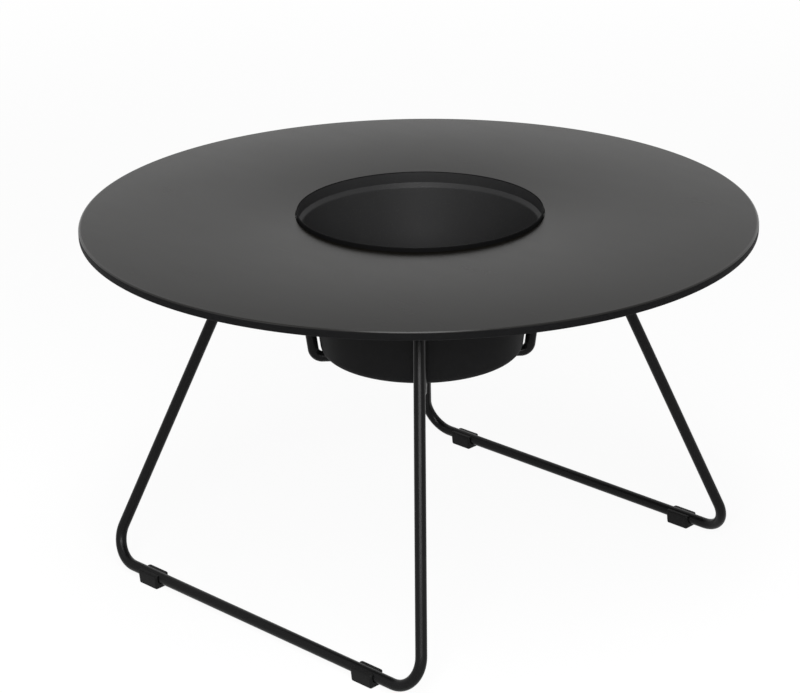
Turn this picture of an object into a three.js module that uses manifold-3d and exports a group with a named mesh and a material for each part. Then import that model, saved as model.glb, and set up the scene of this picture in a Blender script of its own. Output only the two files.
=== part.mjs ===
// Low round patio table with a drop-in ice bucket in the middle of its top.
// Units are millimetres, +Z is up, and the origin is on the floor under the centre of the top.
// The floor runners lie along X. The near runner is at -Y and the far one at +Y.

import * as THREE from 'three';
import { mergeVertices } from 'three/addons/utils/BufferGeometryUtils.js';
import Module from 'manifold-3d';

const wasm = await Module();
wasm.setup();

const QUARTER_TURN = Math.PI / 2;
const HALF_TURN = Math.PI;
const FULL_TURN = 2 * Math.PI;
const UP = new THREE.Vector3(0, 0, 1);

// Tabletop
const TABLE_HEIGHT = 403;
const TOP_RADIUS = 360;
const TOP_THICKNESS = 9;
const TOP_EDGE_ROUND = 2;
const UNDER_EDGE_ROUND = 1.5;
const HOLE_RADIUS = 132.3;
const HOLE_EDGE_ROUND = 1;

// Ice bucket: a tapered shell with an upright collar, which fills the hole of the top and stands
// proud of it. The mouth radius is the one that the taper would reach at the height of the rim.
const BUCKET_HEIGHT = 160;
const BUCKET_FOOT_RADIUS = 109;
const BUCKET_MOUTH_RADIUS = 130;
const BUCKET_WALL = 1.5;
const BUCKET_FOOT_ROUND = 10;
const COLLAR_STAND = 4;
const COLLAR_CLEARANCE = 0.5;
const SHOULDER_RISE = 4;

// Bent rod frames
const ROD_RADIUS = 6;
const RUNNER_CORNER_X = 239;
const RUNNER_CORNER_Y = 253;
const LEG_TOP_REACH = 181;
const ARM_CLEARANCE = 2.5;
const ROD_END_REACH = 6.8;
const FLOOR_BEND = 30;
const LEG_TOP_BEND = 20;
const ARM_TOP_BEND = 14;
const ARM_FOOT_BEND = 10;

// Plate that the four rod ends are welded on
const CRADLE_PLATE_RADIUS = 24;
const CRADLE_PLATE_THICKNESS = 3;
const CRADLE_PLATE_CHAMFER = 0.6;

// Mounting tabs welded across the rods under the top
const TAB_THICKNESS = 3;
const TAB_WIDTH = 18;
const SCREW_SPACING = 42;
const TAB_END_MARGIN = 9;

// Weld beads
const WELD_LEG = 3.2;
const WELD_ROOT = 0.6;
const WELD_END_MARGIN = 1.5;

// Screws
const SCREW_RADIUS = 3;
const SCREW_HEAD_RADIUS = 5.2;
const SCREW_HEAD_HEIGHT = 3.2;
const SCREW_HEAD_EDGE = 0.8;
const HEAD_FLAT_SHARE = 0.55;
const HEAD_DOME_SHARE = 0.85;
const HEAD_DOME_RISE_SHARE = 0.35;
const SCREW_BITE = 5.4;
const SOCKET_FLAT_RADIUS = 2;
const SOCKET_DEPTH = 1.8;
const SCREW_TIP_CHAMFER = 0.7;

// Floor glides. They are clipped on by hand, so each has its own distance from the middle of its
// runner.
const GLIDE_FLOOR = 5.5;
const GLIDE_GRIP = 3;
const GLIDE_LENGTH = 30;
const GLIDE_TOP_WIDTH = 18.4;
const GLIDE_FOOT_WIDTH = 16.4;
const GLIDE_CORNER_ROUND = 3;
const GLIDE_END_ROUND = 2.6;
const GLIDE_EDGE_ROUND = 1.6;
const GLIDE_X_LEFT = 167;
const GLIDE_X_FRONT = 162;
const GLIDE_X_RIGHT = 166;
const GLIDE_X_BACK = 174;

// Gap left between two pieces that touch, overrun of a cutting shape, and the distance under
// which two points of a mesh are one
const SEAT_GAP = 0.3;
const CUT_OVERRUN = 2;
const MERGE_DISTANCE = 1e-4;

// Counts of facets
const TOP_SEGMENTS = 96;
const BUCKET_SEGMENTS = 80;
const ROD_SIDES = 18;
const BEND_STEPS = 6;
const DISC_SEGMENTS = 28;
const SCREW_SEGMENTS = 14;
const HOLE_SEGMENTS = 12;
const ROUND_STEPS = 4;
const EDGE_STEPS = 2;
const FOOT_STEPS = 5;
const RIM_STEPS = 4;
const SOCKET_SIDES = 6;
const TAB_END_SEGMENTS = 7;
const GLIDE_SEGMENTS = 5;
const GLIDE_END_STEPS = 2;

// Heights worked out from the sizes above
const TOP_UNDERSIDE = TABLE_HEIGHT - TOP_THICKNESS;
const BUCKET_TOP = TABLE_HEIGHT + COLLAR_STAND;
const BUCKET_BOTTOM = BUCKET_TOP - BUCKET_HEIGHT;
const CRADLE_ROD_Z = BUCKET_BOTTOM - SEAT_GAP - ROD_RADIUS;
const CRADLE_PLATE_TOP = CRADLE_ROD_Z - ROD_RADIUS - SEAT_GAP;
const TAB_TOP = TOP_UNDERSIDE - SEAT_GAP;
const TAB_BOTTOM = TAB_TOP - TAB_THICKNESS;
const RUN_ROD_Z = TAB_BOTTOM - SEAT_GAP - ROD_RADIUS;
const RUNNER_ROD_Z = GLIDE_FLOOR + ROD_RADIUS;

// The bucket wall leans outward, and the arms beside it keep the same lean
const WALL_SPREAD = BUCKET_MOUTH_RADIUS - BUCKET_FOOT_RADIUS;
const WALL_LENGTH = Math.hypot(BUCKET_HEIGHT, WALL_SPREAD);
const ARM_OFFSET = (ARM_CLEARANCE + ROD_RADIUS) * WALL_LENGTH / BUCKET_HEIGHT;

// Each leg, run and arm lies in an upright plane through the axis of the table
const DIAGONAL = Math.hypot(RUNNER_CORNER_X, RUNNER_CORNER_Y);
const OUTWARD_X = RUNNER_CORNER_X / DIAGONAL;
const OUTWARD_Y = RUNNER_CORNER_Y / DIAGONAL;

// The four corners of the base: the side of the table that each one stands on, and how far out
// along the runner its glide is
const CORNERS = [
  { name: 'left', sideX: -1, sideY: -1, glideX: GLIDE_X_LEFT },
  { name: 'front', sideX: 1, sideY: -1, glideX: GLIDE_X_FRONT },
  { name: 'right', sideX: 1, sideY: 1, glideX: GLIDE_X_RIGHT },
  { name: 'back', sideX: -1, sideY: 1, glideX: GLIDE_X_BACK },
];

// Outer radius of the bucket wall at a height, without the round at its foot
function wallRadiusAt(z) {
  return BUCKET_FOOT_RADIUS + WALL_SPREAD * (z - BUCKET_BOTTOM) / BUCKET_HEIGHT;
}

// A point in the upright plane of a corner, at a reach from the axis and a height
function cornerPoint(corner, reach, z) {
  return new THREE.Vector3(corner.sideX * OUTWARD_X * reach, corner.sideY * OUTWARD_Y * reach, z);
}

// Turn about Z that lays local +X along the outward direction of a corner
function cornerAngle(corner) {
  return Math.atan2(corner.sideY * OUTWARD_Y, corner.sideX * OUTWARD_X);
}

// Closed solid for joining and cutting, from any closed geometry
function toSolid(geometry) {
  const bare = new THREE.BufferGeometry();
  const source = geometry.index ? geometry.toNonIndexed() : geometry;
  bare.setAttribute('position', source.getAttribute('position').clone());
  const merged = mergeVertices(bare, MERGE_DISTANCE);
  const positions = merged.getAttribute('position').array;
  const kept = [];
  const index = merged.index.array;
  let volume = 0;
  const a = new THREE.Vector3();
  const b = new THREE.Vector3();
  const c = new THREE.Vector3();
  for (let i = 0; i < index.length; i += 3) {
    const [p, q, r] = [index[i], index[i + 1], index[i + 2]];
    if (p === q || q === r || r === p) continue;
    kept.push(p, q, r);
    a.fromArray(positions, 3 * p);
    b.fromArray(positions, 3 * q);
    c.fromArray(positions, 3 * r);
    volume += a.dot(b.cross(c));
  }
  if (volume < 0) kept.reverse();
  return new wasm.Manifold(new wasm.Mesh({
    numProp: 3,
    vertProperties: new Float32Array(positions),
    triVerts: new Uint32Array(kept),
  }));
}

// Geometry of a finished solid
function toGeometry(solid) {
  const mesh = solid.getMesh();
  const geometry = new THREE.BufferGeometry();
  geometry.setAttribute('position', new THREE.BufferAttribute(new Float32Array(mesh.vertProperties), 3));
  geometry.setIndex(new THREE.BufferAttribute(new Uint32Array(mesh.triVerts), 1));
  geometry.computeVertexNormals();
  return geometry;
}

// Solid of revolution about Z from an outline of [radius, z] points
function revolve(outline, segments) {
  const points = outline.map(([radius, z]) => new THREE.Vector2(radius, z));
  const geometry = new THREE.LatheGeometry(points, segments);
  geometry.rotateX(QUARTER_TURN);
  return toSolid(geometry);
}

// Points of an arc in an outline, from one angle to another, both ends included
function arcPoints(centreR, centreZ, radius, from, to, steps) {
  const points = [];
  for (let i = 0; i <= steps; i += 1) {
    const angle = from + (to - from) * i / steps;
    points.push([centreR + radius * Math.cos(angle), centreZ + radius * Math.sin(angle)]);
  }
  return points;
}

// Upright round bar between two heights
function bar(radius, low, high, segments) {
  return revolve([[0, low], [radius, low], [radius, high], [0, high]], segments);
}

// Flat outline raised by a depth from z = 0
function raise(shape, depth, curveSegments) {
  return new THREE.ExtrudeGeometry(shape, { depth, bevelEnabled: false, curveSegments });
}

// Outline across X raised along X, with the outline's up as +Z, from one x to another
function raiseAlongX(shape, start, end, curveSegments) {
  const geometry = raise(shape, end - start, curveSegments);
  geometry.rotateX(QUARTER_TURN);
  geometry.rotateZ(QUARTER_TURN);
  geometry.translate(start, 0, 0);
  return toSolid(geometry);
}

// A solid with all of the cutters taken out of it
function cutAll(solid, cutters) {
  return cutters.reduce((rest, cutter) => rest.subtract(cutter), solid);
}

// Curve with its stations where a bender would put them: at the ends and along each bend
class RodPath extends THREE.Curve {
  constructor(stations) {
    super();
    this.stations = stations;
  }

  stationAt(u) {
    return this.stations[Math.round(u * (this.stations.length - 1))];
  }

  getPointAt(u, target = new THREE.Vector3()) {
    return target.copy(this.stationAt(u).point);
  }

  getTangentAt(u, target = new THREE.Vector3()) {
    return target.copy(this.stationAt(u).tangent);
  }
}

// Stations along straight stretches joined by round bends
function bentStations(ends, bends) {
  const corners = [ends[0], ...bends.map((bend) => bend.point), ends[1]];
  const direction = (i) => corners[i + 1].clone().sub(corners[i]).normalize();
  const stations = [{ point: corners[0], tangent: direction(0) }];
  bends.forEach((bend, i) => {
    const before = direction(i);
    const after = direction(i + 1);
    const turn = before.angleTo(after);
    const setback = bend.radius * Math.tan(turn / 2);
    const start = bend.point.clone().addScaledVector(before, -setback);
    const inward = after.clone().addScaledVector(before, -Math.cos(turn)).normalize();
    for (let step = 0; step <= BEND_STEPS; step += 1) {
      const angle = turn * step / BEND_STEPS;
      stations.push({
        point: start.clone()
          .addScaledVector(before, bend.radius * Math.sin(angle))
          .addScaledVector(inward, bend.radius * (1 - Math.cos(angle))),
        tangent: before.clone().multiplyScalar(Math.cos(angle))
          .addScaledVector(inward, Math.sin(angle)),
      });
    }
  });
  const last = corners.length - 1;
  stations.push({ point: corners[last], tangent: direction(last - 1) });
  return stations;
}

// Round bar along stations, thickened by a margin where it serves to cut its seat
function sweepRod(stations, margin) {
  const section = new THREE.Shape();
  section.absarc(0, 0, ROD_RADIUS + margin, 0, FULL_TURN, false);
  const geometry = new THREE.ExtrudeGeometry(section, {
    steps: stations.length - 1,
    extrudePath: new RodPath(stations),
    curveSegments: ROD_SIDES / 2,
  });
  return toSolid(geometry);
}

// The bends from the middle of the table out and down one corner to its floor runner
function cornerBends(corner) {
  const armFoot = wallRadiusAt(CRADLE_ROD_Z) + ARM_OFFSET;
  const armTop = wallRadiusAt(RUN_ROD_Z) + ARM_OFFSET;
  return [
    { point: cornerPoint(corner, armFoot, CRADLE_ROD_Z), radius: ARM_FOOT_BEND },
    { point: cornerPoint(corner, armTop, RUN_ROD_Z), radius: ARM_TOP_BEND },
    { point: cornerPoint(corner, LEG_TOP_REACH, RUN_ROD_Z), radius: LEG_TOP_BEND },
    { point: cornerPoint(corner, DIAGONAL, RUNNER_ROD_Z), radius: FLOOR_BEND },
  ];
}

// The near frame: a single rod from the middle, over the left leg, along the floor and back over
// the front leg. The far frame is the same rod turned half a turn about the axis of the table.
function frameRod() {
  const [left, front] = CORNERS;
  const ends = [
    cornerPoint(left, ROD_END_REACH, CRADLE_ROD_Z),
    cornerPoint(front, ROD_END_REACH, CRADLE_ROD_Z),
  ];
  const bends = [...cornerBends(left), ...cornerBends(front).reverse()];
  return sweepRod(bentStations(ends, bends), 0);
}

// Middle of the straight stretch under the top, between the arm's bend and the leg's bend
function runCentreReach() {
  const armTop = wallRadiusAt(RUN_ROD_Z) + ARM_OFFSET;
  const armTurn = Math.atan2(BUCKET_HEIGHT, WALL_SPREAD);
  const armSetback = ARM_TOP_BEND * Math.tan(armTurn / 2);
  const legTurn = Math.atan2(RUN_ROD_Z - RUNNER_ROD_Z, DIAGONAL - LEG_TOP_REACH);
  const legSetback = LEG_TOP_BEND * Math.tan(legTurn / 2);
  return (armTop + armSetback + LEG_TOP_REACH - legSetback) / 2;
}

const TAB_REACH = runCentreReach();

// Places of the screws of a tab, along it and from its middle
const SCREW_PLACES = [-SCREW_SPACING / 2, SCREW_SPACING / 2];

// Cutter for one screw hole, at a place in plan and between two heights
function screwHole(x, y, low, high) {
  return bar(SCREW_RADIUS + SEAT_GAP, low, high, HOLE_SEGMENTS).translate([x, y, 0]);
}

// Round plate with rounded edges, a round hole and blind screw holes, from its underside up
function tabletop() {
  const holeRoundR = HOLE_RADIUS + HOLE_EDGE_ROUND;
  const holeRoundTop = TOP_THICKNESS - HOLE_EDGE_ROUND;
  const underRoundR = TOP_RADIUS - UNDER_EDGE_ROUND;
  const topRoundR = TOP_RADIUS - TOP_EDGE_ROUND;
  const topRoundZ = TOP_THICKNESS - TOP_EDGE_ROUND;
  const outline = [
    ...arcPoints(holeRoundR, HOLE_EDGE_ROUND, HOLE_EDGE_ROUND, -HALF_TURN, -QUARTER_TURN, EDGE_STEPS),
    ...arcPoints(underRoundR, UNDER_EDGE_ROUND, UNDER_EDGE_ROUND, -QUARTER_TURN, 0, EDGE_STEPS),
    ...arcPoints(topRoundR, topRoundZ, TOP_EDGE_ROUND, 0, QUARTER_TURN, ROUND_STEPS),
    ...arcPoints(holeRoundR, holeRoundTop, HOLE_EDGE_ROUND, QUARTER_TURN, HALF_TURN, EDGE_STEPS),
  ];
  outline.push(outline[0]);
  const holeEnd = SCREW_BITE + SEAT_GAP;
  const holes = CORNERS.flatMap((corner) => SCREW_PLACES.map((along) => {
    const place = new THREE.Vector3(TAB_REACH, along, 0);
    place.applyAxisAngle(UP, cornerAngle(corner));
    return screwHole(place.x, place.y, -CUT_OVERRUN, holeEnd);
  }));
  return cutAll(revolve(outline, TOP_SEGMENTS), holes);
}

// Point of an inner outline, at a wall's thickness from both stretches that meet at a corner
function innerCorner(before, corner, after, wall) {
  const arriving = Math.atan2(corner[1] - before[1], corner[0] - before[0]);
  const leaving = Math.atan2(after[1] - corner[1], after[0] - corner[0]);
  const inward = (arriving + leaving) / 2 + QUARTER_TURN;
  const reach = wall / Math.cos((leaving - arriving) / 2);
  return [corner[0] + reach * Math.cos(inward), corner[1] + reach * Math.sin(inward)];
}

// Tapered shell with a round foot, a shoulder under the top and an upright collar, from its foot up
function bucket() {
  const lean = Math.atan2(WALL_SPREAD, BUCKET_HEIGHT);
  const footR = BUCKET_FOOT_RADIUS - BUCKET_FOOT_ROUND * Math.tan((QUARTER_TURN - lean) / 2);
  const footZ = BUCKET_FOOT_ROUND;
  const innerRound = BUCKET_FOOT_ROUND - BUCKET_WALL;
  const collarR = HOLE_RADIUS - COLLAR_CLEARANCE;
  const collarFootZ = TOP_UNDERSIDE - BUCKET_BOTTOM;
  const shoulderFootZ = collarFootZ - SHOULDER_RISE;
  const rimRound = BUCKET_WALL / 2;
  const rimZ = BUCKET_HEIGHT - rimRound;
  const foot = [BUCKET_FOOT_RADIUS, 0];
  const shoulderFoot = [wallRadiusAt(BUCKET_BOTTOM + shoulderFootZ), shoulderFootZ];
  const collarFoot = [collarR, collarFootZ];
  const collarTop = [collarR, rimZ];
  const outline = [
    [0, 0],
    ...arcPoints(footR, footZ, BUCKET_FOOT_ROUND, -QUARTER_TURN, -lean, FOOT_STEPS),
    shoulderFoot,
    collarFoot,
    ...arcPoints(collarR - rimRound, rimZ, rimRound, 0, HALF_TURN, RIM_STEPS),
    innerCorner(shoulderFoot, collarFoot, collarTop, BUCKET_WALL),
    innerCorner(foot, shoulderFoot, collarFoot, BUCKET_WALL),
    ...arcPoints(footR, footZ, innerRound, -lean, -QUARTER_TURN, FOOT_STEPS),
    [0, BUCKET_WALL],
  ];
  return revolve(outline, BUCKET_SEGMENTS);
}

// Weld beads along both sides of a rod along X, rooted in a plate whose face is at z = 0, on the
// rod's side of that face: 1 for a rod above it and -1 for a rod below it
function weldBeads(start, end, rodSide) {
  const foot = ROD_RADIUS + WELD_LEG;
  const shape = new THREE.Shape();
  shape.moveTo(-foot, 0);
  shape.lineTo(-foot, -rodSide * WELD_ROOT);
  shape.lineTo(foot, -rodSide * WELD_ROOT);
  shape.lineTo(foot, 0);
  shape.lineTo(ROD_RADIUS, rodSide * WELD_LEG);
  shape.lineTo(-ROD_RADIUS, rodSide * WELD_LEG);
  return raiseAlongX(shape, start, end, 1);
}

// Straight rod along X over or under that face, thickened to cut the seat between the beads
function seatCut(start, end, rodSide) {
  const z = rodSide * (SEAT_GAP + ROD_RADIUS);
  const tangent = new THREE.Vector3(1, 0, 0);
  const stations = [start, end].map((x) => ({ point: new THREE.Vector3(x, 0, z), tangent }));
  return sweepRod(stations, SEAT_GAP);
}

// Flat tab with round ends and two holes, with the beads that hold it to the rod under it.
// The rod runs along X, the tab along Y, and z = 0 is the tab's underside.
function mountingTab() {
  const endRadius = TAB_WIDTH / 2;
  const endCentre = SCREW_SPACING / 2 + TAB_END_MARGIN - endRadius;
  const shape = new THREE.Shape();
  shape.absarc(0, endCentre, endRadius, 0, HALF_TURN, false);
  shape.absarc(0, -endCentre, endRadius, HALF_TURN, FULL_TURN, false);
  const plate = toSolid(raise(shape, TAB_THICKNESS, TAB_END_SEGMENTS));
  const beadEnd = endRadius - WELD_END_MARGIN;
  const beads = weldBeads(-beadEnd, beadEnd, -1);
  const holes = SCREW_PLACES.map((along) => screwHole(0, along, -CUT_OVERRUN, TAB_THICKNESS + CUT_OVERRUN));
  return cutAll(plate.add(beads), [seatCut(-TAB_WIDTH, TAB_WIDTH, -1), ...holes]);
}

// Round plate under the middle of the cradle, with the beads along the four rod ends. The rods
// lie on its top face, at z = 0.
function cradlePlate() {
  const rim = CRADLE_PLATE_RADIUS - CRADLE_PLATE_CHAMFER;
  const plate = revolve([
    [0, -CRADLE_PLATE_THICKNESS],
    [rim, -CRADLE_PLATE_THICKNESS],
    [CRADLE_PLATE_RADIUS, CRADLE_PLATE_CHAMFER - CRADLE_PLATE_THICKNESS],
    [CRADLE_PLATE_RADIUS, -CRADLE_PLATE_CHAMFER],
    [rim, 0],
    [0, 0],
  ], DISC_SEGMENTS);
  const turned = (solid, corner) => {
    const degrees = THREE.MathUtils.radToDeg(cornerAngle(corner));
    return solid.rotate([0, 0, degrees]);
  };
  const beadStart = ROD_END_REACH + ROD_RADIUS;
  const beadEnd = rim - WELD_END_MARGIN;
  const cutEnd = CRADLE_PLATE_RADIUS + CUT_OVERRUN;
  const beads = CORNERS.map((corner) => turned(weldBeads(beadStart, beadEnd, 1), corner));
  const cuts = CORNERS.map((corner) => turned(seatCut(0, cutEnd, 1), corner));
  return cutAll(beads.reduce((solid, bead) => solid.add(bead), plate), cuts);
}

// Button head screw with a hexagonal socket, driven from below. Its head hangs from z = 0.
function screw() {
  const tip = SCREW_BITE + TAB_THICKNESS + 2 * SEAT_GAP;
  const domeRise = (SCREW_HEAD_HEIGHT - SCREW_HEAD_EDGE) * HEAD_DOME_RISE_SHARE;
  const body = revolve([
    [0, -SCREW_HEAD_HEIGHT],
    [SCREW_HEAD_RADIUS * HEAD_FLAT_SHARE, -SCREW_HEAD_HEIGHT],
    [SCREW_HEAD_RADIUS * HEAD_DOME_SHARE, domeRise - SCREW_HEAD_HEIGHT],
    [SCREW_HEAD_RADIUS, -SCREW_HEAD_EDGE],
    [SCREW_HEAD_RADIUS, 0],
    [SCREW_RADIUS, 0],
    [SCREW_RADIUS, tip - SCREW_TIP_CHAMFER],
    [SCREW_RADIUS - SCREW_TIP_CHAMFER, tip],
    [0, tip],
  ], SCREW_SEGMENTS);
  const socketRadius = SOCKET_FLAT_RADIUS / Math.cos(HALF_TURN / SOCKET_SIDES);
  const socketEnd = SOCKET_DEPTH - SCREW_HEAD_HEIGHT;
  return body.subtract(bar(socketRadius, -SCREW_HEAD_HEIGHT - CUT_OVERRUN, socketEnd, SOCKET_SIDES));
}

// Half of the glide's section, on the side of +Y, with the groove that the rod snaps in
function glideSection(top) {
  const grooveRadius = ROD_RADIUS + SEAT_GAP;
  const mouth = Math.asin(GLIDE_GRIP / grooveRadius);
  const footHalf = GLIDE_FOOT_WIDTH / 2;
  const topHalf = GLIDE_TOP_WIDTH / 2;
  const section = new THREE.Shape();
  section.moveTo(0, 0);
  section.lineTo(footHalf - GLIDE_EDGE_ROUND, 0);
  section.quadraticCurveTo(footHalf, 0, footHalf, GLIDE_EDGE_ROUND);
  section.lineTo(topHalf, RUNNER_ROD_Z);
  section.lineTo(topHalf, top - GLIDE_EDGE_ROUND);
  section.quadraticCurveTo(topHalf, top, topHalf - GLIDE_EDGE_ROUND, top);
  section.absarc(0, RUNNER_ROD_Z, grooveRadius, mouth, -QUARTER_TURN, true);
  return section;
}

// Long side of the glide, with its lower corners rounded, as seen along Y
function glideSide(top) {
  const half = GLIDE_LENGTH / 2;
  const cornerX = half - GLIDE_CORNER_ROUND;
  const side = new THREE.Shape();
  side.moveTo(-half, top);
  side.absarc(-cornerX, GLIDE_CORNER_ROUND, GLIDE_CORNER_ROUND, HALF_TURN, HALF_TURN + QUARTER_TURN, false);
  side.absarc(cornerX, GLIDE_CORNER_ROUND, GLIDE_CORNER_ROUND, -QUARTER_TURN, 0, false);
  side.lineTo(half, top);
  return side;
}

// Plan of the glide, with rounded corners
function glidePlan() {
  const cornerX = GLIDE_LENGTH / 2 - GLIDE_END_ROUND;
  const cornerY = GLIDE_TOP_WIDTH / 2 - GLIDE_END_ROUND;
  const plan = new THREE.Shape();
  plan.absarc(cornerX, -cornerY, GLIDE_END_ROUND, -QUARTER_TURN, 0, false);
  plan.absarc(cornerX, cornerY, GLIDE_END_ROUND, 0, QUARTER_TURN, false);
  plan.absarc(-cornerX, cornerY, GLIDE_END_ROUND, QUARTER_TURN, HALF_TURN, false);
  plan.absarc(-cornerX, -cornerY, GLIDE_END_ROUND, HALF_TURN, HALF_TURN + QUARTER_TURN, false);
  return plan;
}

// Moulded clip that snaps on a floor runner from below and stands on the floor
function glide() {
  const top = RUNNER_ROD_Z + GLIDE_GRIP;
  const reach = GLIDE_LENGTH / 2 + CUT_OVERRUN;
  const half = raiseAlongX(glideSection(top), -reach, reach, GLIDE_SEGMENTS);
  const channel = half.add(half.mirror([0, 1, 0]));
  const slab = raise(glideSide(top), GLIDE_TOP_WIDTH + CUT_OVERRUN, GLIDE_END_STEPS);
  slab.rotateX(QUARTER_TURN);
  slab.translate(0, (GLIDE_TOP_WIDTH + CUT_OVERRUN) / 2, 0);
  const block = raise(glidePlan(), top, GLIDE_END_STEPS);
  return channel.intersect(toSolid(slab)).intersect(toSolid(block));
}

// Finishes
const powderCoat = { color: 0x1d1d1e, roughness: 0.42, metalness: 0.1 };
const bucketCoat = { color: 0x161617, roughness: 0.5, metalness: 0.1 };
const mouldedPlastic = { color: 0x151515, roughness: 0.6, metalness: 0 };
const blackScrew = { color: 0x1a1a1b, roughness: 0.38, metalness: 0.6 };

// One named mesh from a geometry, in its group
function addPiece(group, name, geometry, finish) {
  const mesh = new THREE.Mesh(geometry, new THREE.MeshStandardMaterial(finish));
  mesh.name = name;
  group.add(mesh);
  return mesh;
}

const table = new THREE.Group();

const rodGeometry = toGeometry(frameRod());
addPiece(table, 'tabletop', toGeometry(tabletop()), powderCoat).position.z = TOP_UNDERSIDE;
addPiece(table, 'ice_bucket', toGeometry(bucket()), bucketCoat).position.z = BUCKET_BOTTOM;
addPiece(table, 'frame_rod_near', rodGeometry, powderCoat);
addPiece(table, 'frame_rod_far', rodGeometry, powderCoat).rotation.z = HALF_TURN;
addPiece(table, 'cradle_plate', toGeometry(cradlePlate()), powderCoat).position.z = CRADLE_PLATE_TOP;

const tabGeometry = toGeometry(mountingTab());
const screwGeometry = toGeometry(screw());
const glideGeometry = toGeometry(glide());
CORNERS.forEach((corner) => {
  const { name, sideX, sideY, glideX } = corner;
  const mount = new THREE.Group();
  mount.rotation.z = cornerAngle(corner);
  table.add(mount);
  addPiece(mount, `tab_${name}`, tabGeometry, powderCoat).position.set(TAB_REACH, 0, TAB_BOTTOM);
  SCREW_PLACES.forEach((along, i) => {
    const mesh = addPiece(mount, `screw_${name}_${i + 1}`, screwGeometry, blackScrew);
    mesh.position.set(TAB_REACH, along, TAB_BOTTOM - SEAT_GAP);
  });
  const mesh = addPiece(table, `glide_${name}`, glideGeometry, mouldedPlastic);
  mesh.position.set(sideX * glideX, sideY * RUNNER_CORNER_Y, 0);
});

export default table;
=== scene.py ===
# Looks of a low round patio table on bent rod frames, with an ice bucket in its top.
# Lengths are in metres, +Z is up, and the origin is on the floor under the centre of the top.
import math

import bmesh
import bpy
from bpy.props import FloatProperty, FloatVectorProperty, IntProperty, PointerProperty
from mathutils import Matrix, Vector


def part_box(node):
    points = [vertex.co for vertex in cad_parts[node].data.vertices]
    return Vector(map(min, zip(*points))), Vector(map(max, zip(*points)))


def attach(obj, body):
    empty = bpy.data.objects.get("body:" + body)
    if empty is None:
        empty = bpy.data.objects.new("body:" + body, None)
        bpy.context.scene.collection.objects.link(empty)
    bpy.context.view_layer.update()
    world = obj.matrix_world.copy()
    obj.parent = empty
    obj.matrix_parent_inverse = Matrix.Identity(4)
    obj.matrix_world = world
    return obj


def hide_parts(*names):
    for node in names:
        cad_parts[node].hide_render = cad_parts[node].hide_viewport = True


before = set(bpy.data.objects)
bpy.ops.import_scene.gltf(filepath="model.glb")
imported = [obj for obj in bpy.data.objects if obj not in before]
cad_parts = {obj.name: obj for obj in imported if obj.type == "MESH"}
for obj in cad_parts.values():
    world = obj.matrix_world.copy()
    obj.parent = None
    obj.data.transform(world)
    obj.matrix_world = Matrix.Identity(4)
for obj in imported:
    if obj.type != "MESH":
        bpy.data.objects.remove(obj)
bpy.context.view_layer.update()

bl_info = {
    "name": "Patio Table",
    "version": (1, 0, 0),
    "blender": (4, 5, 0),
    "location": "3D View > Sidebar > Patio Table",
    "description": "Dresses a round patio table on bent rod frames, with its ice bucket",
    "category": "Object",
}

# Boxes of the CAD model and of those of its pieces that give sizes here
TOP_LOW, TOP_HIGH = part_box("tabletop")
BUCKET_LOW, BUCKET_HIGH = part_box("ice_bucket")
FRAME_LOW, FRAME_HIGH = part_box("frame_rod_near")
PLATE_LOW, PLATE_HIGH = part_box("cradle_plate")
TAB_LOW, TAB_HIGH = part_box("tab_front")
SCREW_LOW, SCREW_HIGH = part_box("screw_front_1")
GLIDE_LOW, GLIDE_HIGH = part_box("glide_front")

# Side of the table on which each corner of the base stands, and the corners that a rod joins
CORNERS = {"left": (-1, -1), "front": (1, -1), "right": (1, 1), "back": (-1, 1)}
RODS = {"near": ("left", "front"), "far": ("right", "back")}

QUARTER = math.pi / 2
WHITE = (1, 1, 1, 1)

# Facets along roundings and bends, and round small pieces
EDGE_STEPS = 6
UPPER_ROUND_STEPS = 10
SHEET_BEND_STEPS = 14
RIM_STEPS = 8
ROD_BEND_STEPS = 20
ROD_SIDES = 36
RIPPLE_STEPS = 6
BEAD_STEPS = 6
TAB_END_STEPS = 18
TAB_HOLE_SIDES = 24
DISC_SIDES = 96
SCREW_SIDES = 36
DOME_STEPS = 8
GLIDE_ROUND_STEPS = 8
GROOVE_STEPS = 18

# Angles between faces above which an edge stays sharp
SHARP_FORM = math.radians(35)
SHARP_PLATE = math.radians(50)
SHARP_BEAD = math.radians(60)

# Lengths below which points count as one, and the decimals to which places are rounded
ON_AXIS = 1e-6
SAME_POINT = 1e-7
PLACE_DECIMALS = 7

# Numbers of the outputs that are read from nodes, and of the inputs of a colour mix
OBJECT_PLACE = 3
VECTOR_LENGTH = 1
BACK_OF_FACE = 6
CAMERA_RAY, GLOSSY_RAY, PASSING_RAY = 0, 3, 6
MIX_FACTOR, MIX_FIRST, MIX_SECOND = 0, 6, 7
MIX_COLOUR = 2

# How far away a sun hangs, which makes no difference to its light
SUN_DISTANCE = 3


def length(name, description, default):
    """A size in metres, for the panel."""
    return FloatProperty(name=name, description=description, default=default, unit="LENGTH",
                         precision=5)


def share(name, description, default):
    """A value from 0 to 1, for the panel."""
    return FloatProperty(name=name, description=description, default=default, min=0, max=1,
                         subtype="FACTOR")


def angle(name, description, default):
    """An angle in radians, for the panel."""
    return FloatProperty(name=name, description=description, default=default, subtype="ANGLE")


def watts(name, description, default):
    """The power of a light, for the panel."""
    return FloatProperty(name=name, description=description, default=default, subtype="POWER")


def colour(name, description, default):
    """A linear colour, for the panel."""
    return FloatVectorProperty(name=name, description=description, default=default, size=3,
                               min=0, max=1, subtype="COLOR")


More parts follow.
